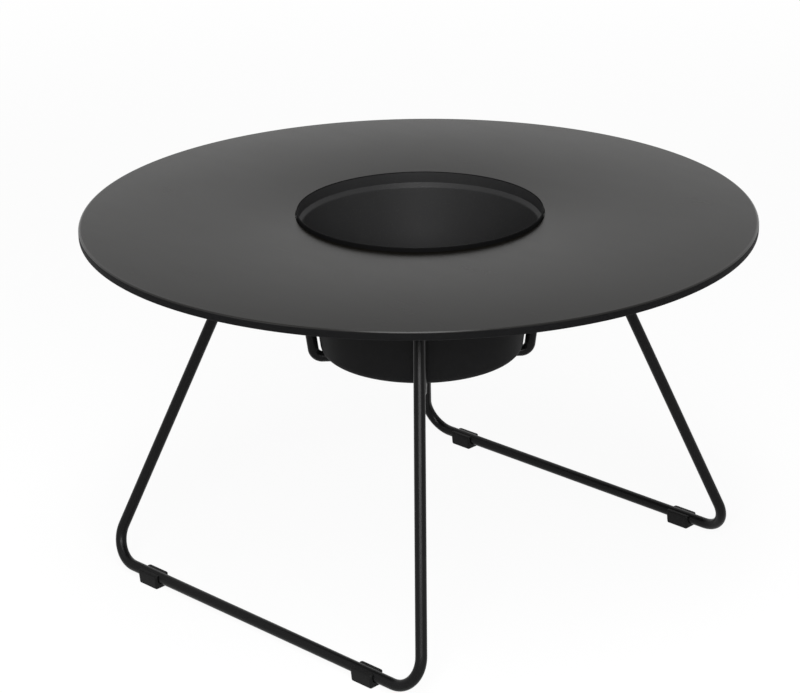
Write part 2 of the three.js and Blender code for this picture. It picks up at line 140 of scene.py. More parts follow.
class PatioTableTop(bpy.types.PropertyGroup):
    """Sizes of the round top."""
    hole_radius: length("Hole Radius", "Radius of the hole that the bucket hangs through", 0.1323)
    upper_round: length("Upper Round", "Radius of the rounded upper edge", 0.0026)
    lower_round: length("Lower Round", "Radius of the rounded lower edge", 0.0015)
    round_end: angle("Round End", "Slope at which the shine of the edge ends", math.radians(30))
    hole_round: length("Hole Round", "Radius of the edges of the hole", 0.001)
    segments: IntProperty(name="Segments", description="Facets round the top", default=288)


class PatioTableBucket(bpy.types.PropertyGroup):
    """Sizes of the ice bucket."""
    foot_radius: length("Foot Radius", "Radius where the wall would meet the floor", 0.109)
    mouth_radius: length("Mouth Radius", "Radius that the taper would reach at the rim", 0.130)
    wall: length("Wall", "Thickness of the sheet", 0.0015)
    foot_round: length("Foot Round", "Outer radius between the wall and the floor", 0.010)
    collar_radius: length("Collar Radius", "Outer radius of the upright collar", 0.1318)
    shoulder_rise: length("Shoulder Rise", "Height of the slanted part under the collar", 0.004)
    shoulder_round: length("Shoulder Round", "Radius of both bends of the shoulder", 0.0024)
    segments: IntProperty(name="Segments", description="Facets round the bucket", default=192)


class PatioTableFrame(bpy.types.PropertyGroup):
    """Sizes of the bent rods, the tabs, the plate and the welds."""
    rod_radius: length("Rod Radius", "Radius of the bent rod", 0.006)
    corner_x: length("Corner X", "Half the length of a floor runner between its corners", 0.239)
    leg_top_reach: length("Leg Top Reach", "From the axis to the top of a leg", 0.181)
    arm_clearance: length("Arm Clearance", "From the bucket wall to an arm beside it", 0.0025)
    end_reach: length("End Reach", "From the axis to the end of a rod", 0.0068)
    floor_bend: length("Floor Bend", "Radius of the bends on the floor", 0.030)
    leg_bend: length("Leg Bend", "Radius of the bends at the top of the legs", 0.020)
    arm_top_bend: length("Arm Top Bend", "Radius of the bend at the top of an arm", 0.014)
    arm_foot_bend: length("Arm Foot Bend", "Radius of the bend at the foot of an arm", 0.010)
    tab_width: length("Tab Width", "Width of a mounting tab", 0.018)
    screw_spacing: length("Screw Spacing", "Between the two screws of a tab", 0.042)
    hole_radius: length("Hole Radius", "Radius of the holes in a tab", 0.0033)
    tab_edge: length("Tab Edge", "Softening of the edges of the flat pieces", 0.0004)
    tab_margin: length("Tab Margin", "From the end of a weld bead to the side of its tab", 0.0015)
    plate_margin: length("Plate Margin", "From a weld bead to the rim of the plate", 0.0021)
    weld_leg: length("Weld Leg", "Width of a weld bead on the plate", 0.0032)
    weld_ripple: length("Weld Ripple", "Height of the ripples of a weld bead", 0.00016)
    weld_pitch: length("Weld Pitch", "Distance between two ripples", 0.0014)
    seat_gap: length("Seat Gap", "Gap between two pieces that touch", 0.0003)


class PatioTableSmallParts(bpy.types.PropertyGroup):
    """Sizes of the screws and the floor glides."""
    head_radius: length("Head Radius", "Radius of a screw's head", 0.0052)
    head_height: length("Head Height", "Height of a screw's head", 0.0032)
    head_edge: length("Head Edge", "Straight part of the head's side", 0.0008)
    head_flat: share("Head Flat", "Share of the head's radius that is flat", 0.62)
    shank_radius: length("Shank Radius", "Radius of a screw's shank", 0.003)
    tip_chamfer: length("Tip Chamfer", "Chamfer at the tip of a screw", 0.0007)
    socket_flat: length("Socket Flat", "From the middle of the socket to its flats", 0.002)
    socket_depth: length("Socket Depth", "Depth of the socket", 0.0018)
    socket_chamfer: length("Socket Chamfer", "Chamfer round the socket", 0.0002)
    glide_foot_width: length("Glide Foot Width", "Width of a glide on the floor", 0.0164)
    glide_rise: length("Glide Rise", "Height of its lips over the CAD model's", 0.0016)
    glide_low_round: length("Glide Low Round", "Radius of a glide's lower corners", 0.003)
    glide_end_round: length("Glide End Round", "Radius of its corners seen from above", 0.0026)
    glide_lip_round: length("Glide Lip Round", "Radius between its lips and its ends", 0.0010)
    glide_edge: length("Glide Edge", "Radius of a glide's long edges", 0.0016)
    groove_chamfer: length("Groove Chamfer", "Widening of its groove at the ends", 0.0002)


class PatioTableFinish(bpy.types.PropertyGroup):
    """Colours, roughness and shine of the finishes."""
    top_colour: colour("Top Colour", "Coat of the top", (0.0036, 0.0032, 0.0024))
    edge_colour: colour("Edge Colour", "Coat of the top's edge", (0.0090, 0.0090, 0.0094))
    frame_colour: colour("Frame Colour", "Coat of the rods", (0.0044, 0.0044, 0.0045))
    bucket_colour: colour("Bucket Colour", "Coat of the bucket", (0.0068, 0.0068, 0.0070))
    # Collar and lip: the bucket's coat painted darker, as painted shade of the gap round the
    # bucket in the top's hole
    rim_painted_shade_colour: colour("Rim Colour", "Coat of the collar and lip", (0.0030, 0.0030, 0.0031))
    # Inside the bucket: the coat painted lighter, as painted light on the inner wall
    lining_painted_light_colour: colour("Lining Colour", "Coat inside the bucket", (0.0150, 0.0150, 0.0153))
    glide_colour: colour("Glide Colour", "Plastic of the glides", (0.0040, 0.0040, 0.0040))
    screw_colour: colour("Screw Colour", "Black oxide of the screws", (0.020, 0.020, 0.021))
    top_roughness: share("Top Roughness", "Roughness of the top's coat", 0.25)
    edge_roughness: share("Edge Roughness", "Roughness of the coat on the top's edge", 0.55)
    frame_roughness: share("Frame Roughness", "Roughness of the rods' coat", 0.30)
    bucket_roughness: share("Bucket Roughness", "Roughness of the bucket's coat", 0.60)
    lining_roughness: share("Lining Roughness", "Roughness inside the bucket", 0.45)
    glide_roughness: share("Glide Roughness", "Roughness of the plastic", 0.56)
    screw_roughness: share("Screw Roughness", "Roughness of the oxide", 0.36)
    top_shine: share("Top Shine", "Specular level of the top's coat", 0.094)
    round_shine: share("Round Shine", "Specular level on the rounded upper edge", 0.25)
    edge_shine: share("Edge Shine", "Specular level on the upright edge", 0.03)
    frame_shine: share("Frame Shine", "Specular level of the rods' coat", 0.09)
    bucket_shine: share("Bucket Shine", "Specular level of the bucket's coat", 0.04)
    rim_shine: share("Rim Shine", "Specular level on the collar and lip", 0.02)
    lining_shine: share("Lining Shine", "Specular level inside the bucket", 0.10)
    glide_shine: share("Glide Shine", "Specular level of the plastic", 0.09)
    screw_metal: share("Screw Metal", "How metallic the screws are", 0.7)
    peel_height: length("Peel Height", "Depth of the coat's soft ripple", 0.000012)
    grain_height: length("Grain Height", "Depth of the coat's fine grain", 0.000005)
    plastic_height: length("Plastic Height", "Depth of the plastic's grain", 0.000012)
    oxide_height: length("Oxide Height", "Depth of the oxide's bloom", 0.000006)


class PatioTableStage(bpy.types.PropertyGroup):
    """Camera, light and floor."""
    azimuth: angle("Azimuth", "Way to the camera, turned from the near side", 0.72798)
    elevation: angle("Elevation", "Height angle of the camera", 0.35363)
    roll: angle("Roll", "Lean of the camera", 0.00227)
    distance: length("Distance", "From the camera to the point that it faces", 2.6911)
    aim_aside: length("Aim Aside", "That point's place to the right of the axis", 0.10842)
    aim_height: length("Aim Height", "That point's height", 0.29873)
    lens: FloatProperty(name="Lens", description="Focal length in millimetres", default=112.048,
                        subtype="DISTANCE_CAMERA")
    shift_x: FloatProperty(name="Shift X", description="Sideways shift of the frame",
                           default=-0.15225)
    shift_y: FloatProperty(name="Shift Y", description="Upward shift of the frame",
                           default=-0.05376)
    dome: share("Dome", "Light of the surroundings on matt surfaces", 0.14)
    side: FloatProperty(name="Side", description="Strength of the side light", default=0.25)
    side_turn: angle("Side Turn", "From the camera round to the side light", math.radians(-62))
    side_rise: angle("Side Rise", "Height angle of the side light", math.radians(42))
    side_disc: angle("Side Disc", "How wide the side light is", math.radians(30))
    overhead: watts("Overhead", "Power of the strip light above", 54.0)
    overhead_turn: angle("Overhead Turn", "From the camera round to it", math.radians(-1))
    overhead_rise: angle("Overhead Rise", "Height angle of the strip light", math.radians(68))
    overhead_distance: length("Overhead Distance", "From the origin to the strip light", 2.62)
    overhead_width: length("Overhead Width", "Width of the strip light", 0.85)
    overhead_height: length("Overhead Height", "Length of the strip light", 2.75)
    softbox: watts("Softbox", "Power of the wide light beside the camera", 108.0)
    softbox_turn: angle("Softbox Turn", "From the camera round to it", math.radians(5))
    softbox_rise: angle("Softbox Rise", "Height angle of the softbox", math.radians(28.5))
    softbox_distance: length("Softbox Distance", "From the origin to the softbox", 3.4)
    softbox_width: length("Softbox Width", "Width of the softbox", 2.6)
    softbox_height: length("Softbox Height", "Height of the softbox", 0.8)
    paper_white: share("Paper White", "How light the floor's paper is", 0.96)
    paper_glow: share("Paper Glow", "Share of the paper that is plain white to the eye", 0.93)
    glow_reach: length("Glow Reach", "Distance from the table at which that share rises", 2.2)
    glow_fade: length("Glow Fade", "Half the width of that rise", 1.0)
    floor_half: length("Floor Half", "Half the width of the floor", 9.0)
    floor_drop: length("Floor Drop", "How far the floor lies under the glides", 0.0002)


GROUPS = {
    "patio_table_top": PatioTableTop,
    "patio_table_bucket": PatioTableBucket,
    "patio_table_frame": PatioTableFrame,
    "patio_table_small_parts": PatioTableSmallParts,
    "patio_table_finish": PatioTableFinish,
    "patio_table_stage": PatioTableStage,
}


class Value:
    """A shader socket that takes part in sums."""

    def __init__(self, shader, socket):
        self.shader = shader
        self.socket = socket

    def math(self, operation, *inputs):
        """Value of a Math node."""
        return self.shader.node("ShaderNodeMath", {"operation": operation},
                                dict(enumerate(inputs)))[0]

    def __add__(self, other):
        return self.math("ADD", self, other)

    def __radd__(self, other):
        return self.math("ADD", other, self)

    def __sub__(self, other):
        return self.math("SUBTRACT", self, other)

    def __rsub__(self, other):
        return self.math("SUBTRACT", other, self)

    def __mul__(self, other):
        return self.math("MULTIPLY", self, other)

    def __rmul__(self, other):
        return self.math("MULTIPLY", other, self)

    def most(self, other):
        """The larger of two values."""
        return self.math("MAXIMUM", self, other)

    def swing(self, by):
        """Noise from 0 to 1 made into a value round 0, this wide from end to end."""
        return (self - 0.5) * by

    def above(self, limit, softness):
        """1 where the value is above the limit, 0 below it, with a soft step between."""
        return self.shader.node("ShaderNodeMapRange", {"interpolation_type": "SMOOTHSTEP"}, {
            "Value": self, "From Min": limit - softness, "From Max": limit + softness,
        })[0]


class Shader:
    """Nodes of one material or of the world."""

    def __init__(self, owner):
        owner.use_nodes = True
        self.tree = owner.node_tree
        self.tree.nodes.clear()

    def node(self, kind, settings=None, inputs=None):
        """Adds a node with its settings, then the values or links of its sockets."""
        made = self.tree.nodes.new(kind)
        for name, value in (settings or {}).items():
            setattr(made, name, value)
        for name, value in (inputs or {}).items():
            if isinstance(value, Value):
                self.tree.links.new(value.socket, made.inputs[name])
            else:
                made.inputs[name].default_value = value
        return [Value(self, socket) for socket in made.outputs]

    def place(self):
        """Place on the piece, in metres."""
        return self.node("ShaderNodeTexCoord")[OBJECT_PLACE]

    def noise(self, place, size, detail=2.0, roughness=0.5):
        """Soft noise from 0 to 1 whose patches are about this size in metres."""
        return self.node("ShaderNodeTexNoise", inputs={
            "Vector": place, "Scale": 1 / size, "Detail": detail, "Roughness": roughness,
        })[0]

    def stretched(self, place, scale, turn=0.0):
        """The place, turned about Z and scaled, for streaks."""
        return self.node("ShaderNodeMapping", inputs={
            "Vector": place, "Rotation": (0, 0, turn), "Scale": scale,
        })[0]

    def blend(self, factor, first, second):
        """Colour between two colours."""
        return self.node("ShaderNodeMix", {"data_type": "RGBA"}, {
            MIX_FACTOR: factor, MIX_FIRST: first, MIX_SECOND: second,
        })[MIX_COLOUR]

    def either(self, factor, first, second):
        """Surface between two surfaces."""
        return self.node("ShaderNodeMixShader", inputs={0: factor, 1: first, 2: second})[0]

    def bump(self, height):
        """Normal from a height in metres."""
        return self.node("ShaderNodeBump", inputs={
            "Height": height, "Strength": 1.0, "Distance": 1.0,
        })[0]

    def surface(self, inputs):
        """Principled surface on the output."""
        principled = self.node("ShaderNodeBsdfPrincipled", inputs=inputs)[0]
        self.node("ShaderNodeOutputMaterial", inputs={"Surface": principled})


def rgba(values, gain=1.0):
    """Colour with alpha, from a linear colour and a gain."""
    return (*(min(1.0, gain * v) for v in values), 1.0)


def new_material(name):
    """Material of this name, made at its first use."""
    return bpy.data.materials.get(name) or bpy.data.materials.new(name)


def powder_coat(name, tint, roughness, shine, marks, coarseness=1.0):
    """Satin powder coat: a soft ripple, a fine grain, faint clouds and specks, and wipe marks."""
    finish = bpy.context.scene.patio_table_finish
    material = new_material(name)
    shader = Shader(material)
    place = shader.place()
    streaks = shader.stretched(place, scale=(2.5, 14.0, 6.0), turn=0.7)
    cloud = shader.noise(place, size=0.09, detail=3.0, roughness=0.55)
    ripple = shader.noise(place, size=0.0024, detail=1.0)
    grain = shader.noise(place, size=0.0007, roughness=0.6)
    wiped = shader.noise(streaks, size=0.22, detail=4.0, roughness=0.6)
    speck = shader.noise(place, size=0.0011, detail=0.0).above(limit=0.74, softness=0.03)
    speck_strength = 0.35
    clouded = shader.blend(cloud, rgba(tint, gain=0.86), rgba(tint, gain=1.16))
    shader.surface({
        "Base Color": shader.blend(speck * speck_strength, clouded, rgba(tint, gain=2.4)),
        "Roughness": roughness + cloud.swing(by=0.07) + wiped.swing(marks) + grain.swing(by=0.05),
        "Specular IOR Level": shine,
        "Normal": shader.bump(ripple * finish.peel_height
                              + grain * (coarseness * finish.grain_height)),
    })
    return material


def top_coat():
    """Dark grey satin coat of the top."""
    finish = bpy.context.scene.patio_table_finish
    return powder_coat("top_coat", finish.top_colour, finish.top_roughness, finish.top_shine,
                       marks=0.07)


def round_coat():
    """The coat of the top where it is pulled thin over the rounded upper edge and shines more."""
    finish = bpy.context.scene.patio_table_finish
    return powder_coat("round_coat", finish.top_colour, finish.top_roughness, finish.round_shine,
                       marks=0.05)


def edge_coat():
    """The coat of the top on its upright edge, where it is more matt."""
    finish = bpy.context.scene.patio_table_finish
    return powder_coat("edge_coat", finish.edge_colour, finish.edge_roughness, finish.edge_shine,
                       marks=0.05, coarseness=2.0)


def frame_coat():
    """Near-black satin coat of the rods, the tabs and the plate."""
    finish = bpy.context.scene.patio_table_finish
    return powder_coat("frame_coat", finish.frame_colour, finish.frame_roughness,
                       finish.frame_shine, marks=0.04)


def bucket_coat():
    """Near-black fine coat of the bucket."""
    finish = bpy.context.scene.patio_table_finish
    return powder_coat("bucket_coat", finish.bucket_colour, finish.bucket_roughness,
                       finish.bucket_shine, marks=0.05, coarseness=1.4)


def rim_painted_shade_coat():
    """The bucket's coat on its collar and lip, painted darker than the rest of the bucket as shade
    in the gap at the hole in the top, and quite matt.
    """
    finish = bpy.context.scene.patio_table_finish
    return powder_coat("rim_painted_shade_coat", finish.rim_painted_shade_colour, finish.bucket_roughness, finish.rim_shine,
                       marks=0.05)


def lining_painted_light_coat():
    """Smoother coat inside the bucket, with its colour painted lighter as painted light on the
    inner wall, and stronger wipe marks.
    """
    finish = bpy.context.scene.patio_table_finish
    return powder_coat("lining_painted_light_coat", finish.lining_painted_light_colour, finish.lining_roughness,
                       finish.lining_shine, marks=0.12)


def glide_plastic():
    """Moulded black plastic with a fine spark-eroded grain."""
    finish = bpy.context.scene.patio_table_finish
    tint = finish.glide_colour
    material = new_material("glide_plastic")
    shader = Shader(material)
    place = shader.place()
    grain = shader.noise(place, size=0.00045, detail=3.0, roughness=0.65)
    flow = shader.noise(shader.stretched(place, scale=(1.0, 5.0, 5.0)), size=0.02)
    shader.surface({
        "Base Color": shader.blend(flow, rgba(tint, gain=0.85), rgba(tint, gain=1.25)),
        "Roughness": finish.glide_roughness + grain.swing(by=0.15) + flow.swing(by=0.08),
        "Specular IOR Level": finish.glide_shine,
        "Normal": shader.bump(grain * finish.plastic_height),
    })
    return material


def screw_oxide():
    """Black oxide on steel, with a bloom and small spots that are rubbed bright."""
    finish = bpy.context.scene.patio_table_finish
    tint = finish.screw_colour
    material = new_material("screw_oxide")
    shader = Shader(material)
    place = shader.place()
    bloom = shader.noise(place, size=0.0016, detail=3.0)
    rubbed = shader.noise(place, size=0.0006, detail=1.0).above(limit=0.66, softness=0.06)
    rub_strength = 0.5
    bloomed = shader.blend(bloom, rgba(tint, gain=0.8), rgba(tint, gain=1.3))
    shader.surface({
        "Base Color": shader.blend(rubbed * rub_strength, bloomed, rgba(tint, gain=4.0)),
        "Metallic": finish.screw_metal,
        "Roughness": finish.screw_roughness + bloom.swing(by=0.2),
        "Normal": shader.bump(bloom * finish.oxide_height),
    })
    return material


def finished(name, rings, material, loop=False, sharp=SHARP_FORM):
    """Object from rings of points, skinned ring to ring; a ring of one point closes an end."""
    vertices = []
    starts = []
    for ring in rings:
        starts.append(len(vertices))
        vertices.extend(ring)
    pairs = list(zip(range(len(rings) - 1), range(1, len(rings))))
    if loop:
        pairs.append((len(rings) - 1, 0))
    faces = []
    for a, b in pairs:
        count = max(len(rings[a]), len(rings[b]))
        for i in range(count):
            j = (i + 1) % count
            corners = [starts[a] + i % len(rings[a]), starts[a] + j % len(rings[a]),
                       starts[b] + j % len(rings[b]), starts[b] + i % len(rings[b])]
            # At a ring of one point two corners are the same, and the face is a triangle
            faces.append([v for n, v in enumerate(corners) if v not in corners[:n]])
    mesh = bpy.data.meshes.new(name)
    mesh.from_pydata(vertices, [], faces)
    return settled(name, mesh, material, sharp)


def settled(name, mesh, material, sharp):
    """Object from a mesh, with its faces turned out and shaded smooth up to an angle."""
    work = bmesh.new()
    work.from_mesh(mesh)
    bmesh.ops.remove_doubles(work, verts=work.verts, dist=SAME_POINT)
    bmesh.ops.recalc_face_normals(work, faces=work.faces)
    work.to_mesh(mesh)
    work.free()
    smooth(mesh, sharp)
    mesh.materials.append(material)
    piece = bpy.data.objects.new(name, mesh)
    bpy.context.scene.collection.objects.link(piece)
    return piece


def smooth(mesh, sharp):
    """Shades a mesh smooth, but for edges above an angle."""
    mesh.polygons.foreach_set("use_smooth", [True] * len(mesh.polygons))
    mesh.set_sharp_from_angle(angle=sharp)


def arc(centre_x, centre_y, radius, start, end, steps):
    """Points along part of a circle, in X and Y or in radius and height."""
    turns = (start + (end - start) * i / steps for i in range(steps + 1))
    return [(centre_x + radius * math.cos(a), centre_y + radius * math.sin(a)) for a in turns]


def whole_turn(count):
    """Evenly spaced angles round a full circle."""
    return [2 * math.pi * i / count for i in range(count)]


def circle(centre_x, centre_y, radius, sides):
    """Points round a full circle in X and Y."""
    return arc(centre_x, centre_y, radius, 0, 4 * QUARTER, sides)[:-1]


def turned(outline, segments):
    """Rings of a shape turned about Z from an outline of radii and heights."""
    rings = []
    for radius, z in outline:
        if radius < ON_AXIS:
            rings.append([(0, 0, z)])
            continue
        rings.append([(radius * math.cos(a), radius * math.sin(a), z)
                      for a in whole_turn(segments)])
    return rings


def runner_y():
    """Distance of a floor runner from the middle."""
    return -FRAME_LOW.y - bpy.context.scene.patio_table_frame.rod_radius


def out_from_axis(corner):
    """Unit vector from the axis of the table towards a corner of the base."""
    sizes = bpy.context.scene.patio_table_frame
    side_x, side_y = CORNERS[corner]
    return Vector((side_x * sizes.corner_x, side_y * runner_y(), 0)).normalized()


def bent_path(ends, bends, steps):
    """Points and directions along straight stretches joined by round bends."""
    corners = [ends[0], *(point for point, _ in bends), ends[1]]
    ways = [(b - a).normalized() for a, b in zip(corners, corners[1:])]
    path = [(corners[0], ways[0])]
    for i, (point, radius) in enumerate(bends):
        before, after = ways[i], ways[i + 1]
        turn = before.angle(after)
        start = point - before * radius * math.tan(turn / 2)
        inward = (after - before * math.cos(turn)).normalized()
        for step in range(steps + 1):
            a = turn * step / steps
            path.append((
                start + before * radius * math.sin(a) + inward * radius * (1 - math.cos(a)),
                before * math.cos(a) + inward * math.sin(a),
            ))
    path.append((corners[-1], ways[-1]))
    return path


def swept(path, radius, sides, chamfer):
    """Rings of a round rod along a path, with chamfered ends."""
    (first, first_way), (last, last_way) = path[0], path[-1]
    stations = [
        (first, first_way, radius - chamfer),
        (first + first_way * chamfer, first_way, radius),
        *((point, way, radius) for point, way in path[1:-1]),
        (last - last_way * chamfer, last_way, radius),
        (last, last_way, radius - chamfer),
    ]
    across = first_way.orthogonal().normalized()
    rings = [[tuple(first)]]
    previous = first_way
    for point, way, size in stations:
        across = previous.rotation_difference(way) @ across
        across = (across - way * across.dot(way)).normalized()
        other = way.cross(across)
        previous = way
        rings.append([tuple(point + (across * math.cos(a) + other * math.sin(a)) * size)
                      for a in whole_turn(sides)])
    rings.append([tuple(last)])
    return rings


def arm_reach(z):
    """From the axis to the middle of an arm at a height, beside the leaning bucket wall."""
    bucket = bpy.context.scene.patio_table_bucket
    sizes = bpy.context.scene.patio_table_frame
    rise = BUCKET_HIGH.z - BUCKET_LOW.z
    spread = bucket.mouth_radius - bucket.foot_radius
    offset = (sizes.arm_clearance + sizes.rod_radius) * math.hypot(rise, spread) / rise
    return bucket.foot_radius + spread * (z - BUCKET_LOW.z) / rise + offset


def rod_heights():
    """Heights of the rod's middle in the cradle, under the top and on the floor."""
    sizes = bpy.context.scene.patio_table_frame
    cradle = BUCKET_LOW.z - sizes.seat_gap - sizes.rod_radius
    return cradle, FRAME_HIGH.z - sizes.rod_radius, FRAME_LOW.z + sizes.rod_radius


def corner_bends(corner):
    """Bends from the middle of the table out and down one corner to its floor runner."""
    sizes = bpy.context.scene.patio_table_frame
    cradle, run, runner = rod_heights()
    out = out_from_axis(corner)
    foot_reach = math.hypot(sizes.corner_x, runner_y())
    up = Vector((0, 0, 1))
    return [
        (out * arm_reach(cradle) + up * cradle, sizes.arm_foot_bend),
        (out * arm_reach(run) + up * run, sizes.arm_top_bend),
        (out * sizes.leg_top_reach + up * run, sizes.leg_bend),
        (out * foot_reach + up * runner, sizes.floor_bend),
    ]


def run_centre():
    """From the axis to the middle of the straight stretch under the top."""
    return math.hypot((TAB_LOW.x + TAB_HIGH.x) / 2, (TAB_LOW.y + TAB_HIGH.y) / 2)


def standing_at(corner, reach, z):
    """Matrix of a piece with its X along the way out from the axis to a corner."""
    out = out_from_axis(corner)
    turn = Matrix.Rotation(math.atan2(out.y, out.x), 4, "Z")
    return Matrix.Translation(out * reach + Vector((0, 0, z))) @ turn


def placed(piece, matrix, body, node):
    """Puts a piece in place with its mesh, on its body and for its CAD node."""
    piece.data.transform(matrix)
    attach(piece, body)
    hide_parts(node)


class PATIO_TABLE_OT_top(bpy.types.Operator):
    """Make the round top with its rounded edges and its hole."""
    bl_idname = "patio_table.top"
    bl_label = "Top"

    def execute(self, context):
        sizes = context.scene.patio_table_top
        radius = TOP_HIGH.x
        low, high = TOP_LOW.z, TOP_HIGH.z
        lower, upper, inner = sizes.lower_round, sizes.upper_round, sizes.hole_round
        hole = sizes.hole_radius + inner
        outline = [
            *arc(hole, low + inner, inner, -2 * QUARTER, -QUARTER, EDGE_STEPS),
            *arc(radius - lower, low + lower, lower, -QUARTER, 0, EDGE_STEPS),
            *arc(radius - upper, high - upper, upper, 0, QUARTER, UPPER_ROUND_STEPS),
            *arc(hole, high - inner, inner, QUARTER, 2 * QUARTER, EDGE_STEPS),
        ]
        piece = finished("round_top", turned(outline, sizes.segments), top_coat(), loop=True)
        piece.data.materials.append(round_coat())
        piece.data.materials.append(edge_coat())
        rounded, upright = 1, 2
        shine_end = math.sin(sizes.round_end)
        for face in piece.data.polygons:
            if math.hypot(face.center.x, face.center.y) > radius - upper:
                face.material_index = rounded if face.normal.z > shine_end else upright
        placed(piece, Matrix.Identity(4), "table", "tabletop")
        return {"FINISHED"}


class PATIO_TABLE_OT_bucket(bpy.types.Operator):
    """Make the tapered ice bucket with its shoulder and its upright collar."""
    bl_idname = "patio_table.bucket"
    bl_label = "Ice Bucket"

    def execute(self, context):
        sizes = context.scene.patio_table_bucket
        height = BUCKET_HIGH.z - BUCKET_LOW.z
        foot, collar, wall = sizes.foot_radius, sizes.collar_radius, sizes.wall
        rim_round = wall / 2
        rim = height - rim_round
        collar_foot = TOP_LOW.z - BUCKET_LOW.z
        shoulder_foot = collar_foot - sizes.shoulder_rise
        shoulder = foot + (sizes.mouth_radius - foot) * shoulder_foot / height
        sheet = bent_path([Vector((0, 0, 0)), Vector((collar, 0, rim))], [
            (Vector((foot, 0, 0)), sizes.foot_round),
            (Vector((shoulder, 0, shoulder_foot)), sizes.shoulder_round),
            (Vector((collar, 0, collar_foot)), sizes.shoulder_round),
        ], SHEET_BEND_STEPS)
        outer = [(point.x, point.z) for point, _ in sheet]
        inner = [(max(0, point.x - way.z * wall), point.z + way.x * wall) for point, way in sheet]
        rolled = arc(collar - rim_round, rim, rim_round, 0, 2 * QUARTER, RIM_STEPS)[1:-1]
        rings = turned([*outer, *rolled, *reversed(inner)], sizes.segments)
        piece = finished("bucket_shell", rings, bucket_coat())
        piece.data.materials.append(lining_painted_light_coat())
        piece.data.materials.append(rim_painted_shade_coat())
        painted_light_lining, painted_shade_rim = 1, 2
        nearly_level = 0.5
        for face in piece.data.polygons:
            centre, normal = face.center, face.normal
            inward = normal.x * centre.x + normal.y * centre.y < 0
            if centre.z > rim or (centre.z > collar_foot and not inward):
                # The collar and lip get the coat painted darker as shade
                face.material_index = painted_shade_rim
            elif inward or (normal.z > nearly_level and centre.z < shoulder_foot):
                # The inside faces get the coat painted lighter as light on the inner wall
                face.material_index = painted_light_lining
        where = Matrix.Translation((0, 0, BUCKET_LOW.z))
        placed(piece, where, "bucket", "ice_bucket")
        return {"FINISHED"}


class PATIO_TABLE_OT_rods(bpy.types.Operator):
    """Make the two frames, each bent from one rod."""
    bl_idname = "patio_table.rods"
    bl_label = "Bent Rods"

    def execute(self, context):
        sizes = context.scene.patio_table_frame
        cradle = Vector((0, 0, rod_heights()[0]))
        material = frame_coat()
        for side, (first, second) in RODS.items():
            ends = [out_from_axis(corner) * sizes.end_reach + cradle for corner in (first, second)]
            bends = corner_bends(first) + corner_bends(second)[::-1]
            path = bent_path(ends, bends, ROD_BEND_STEPS)
            rings = swept(path, sizes.rod_radius, ROD_SIDES, 2 * sizes.tab_edge)
            piece = finished(f"bent_rod_{side}", rings, material)
            placed(piece, Matrix.Identity(4), "table", f"frame_rod_{side}")
        return {"FINISHED"}


def weld_rings(start, end, rod_side, rod_flank):
    """Rings of one rippled bead along X between a plate at z = 0 and the flank of a rod."""
    sizes = bpy.context.scene.patio_table_frame
    radius, leg, gap = sizes.rod_radius, sizes.weld_leg, sizes.seat_gap
    least_swell = 0.02
    hollow = 0.16
    inner_y = 0.72 * radius
    inner_rise = 0.3
    steps = round((end - start) / (sizes.weld_pitch / RIPPLE_STEPS))
    rings = []
    for i in range(steps + 1):
        x = start + (end - start) * i / steps
        from_end = min(1.0, min(x - start, end - x) / leg)
        size = leg * math.sqrt(max(least_swell, from_end * (2 - from_end)))
        ripple = sizes.weld_ripple * math.cos(2 * math.pi * (x - start) / sizes.weld_pitch)
        ring = [(radius + size, -gap)]
        for k in range(BEAD_STEPS + 1):
            a = QUARTER * k / BEAD_STEPS
            bulge = 1 - hollow * math.sin(2 * a)
            raised = ripple * math.sin(2 * a)
            y = radius + size * (1 - math.sin(a)) * bulge + raised
            z = size * (1 - math.cos(a)) * bulge + raised
            ring.append((y, max(z, 0.0)))
        ring.append((radius - gap, size))
        ring.append((inner_y, inner_rise * size))
        ring.append((inner_y, -gap))
        rings.append([(x, rod_flank * y, rod_side * z) for y, z in ring])
    return [[middle(rings[0])], *rings, [middle(rings[-1])]]


def middle(ring):
    """Mean of the points of a ring."""
    return tuple(sum(axis) / len(ring) for axis in zip(*ring))


def flat_plate(name, outlines, thickness, edge, material):
    """Flat piece with softened edges, cut from outlines in X and Y, from z = 0 up."""
    curve = bpy.data.curves.new(name, "CURVE")
    curve.dimensions = "2D"
    curve.fill_mode = "BOTH"
    curve.extrude = thickness / 2 - edge
    curve.bevel_depth = edge
    curve.bevel_resolution = 2
    curve.offset = -edge
    for outline in outlines:
        spline = curve.splines.new("POLY")
        spline.points.add(len(outline) - 1)
        spline.use_cyclic_u = True
        for point, (x, y) in zip(spline.points, outline):
            point.co = (x, y, 0, 1)
    source = bpy.data.objects.new(name, curve)
    bpy.context.scene.collection.objects.link(source)
    bpy.context.view_layer.update()
    mesh = bpy.data.meshes.new_from_object(source)
    bpy.data.objects.remove(source)
    bpy.data.curves.remove(curve)
    mesh.materials.clear()
    mesh.transform(Matrix.Translation((0, 0, thickness / 2)))
    return settled(name, mesh, material, SHARP_PLATE)


def welded(plate, beads, material):
    """One piece from a plate and its weld beads."""
    work = bmesh.new()
    work.from_mesh(plate.data)
    for rings in beads:
        bead = finished("weld_bead", rings, material, sharp=SHARP_BEAD)
        mesh = bead.data
        work.from_mesh(mesh)
        bpy.data.objects.remove(bead)
        bpy.data.meshes.remove(mesh)
    work.to_mesh(plate.data)
    work.free()
    smooth(plate.data, SHARP_PLATE)
    return plate


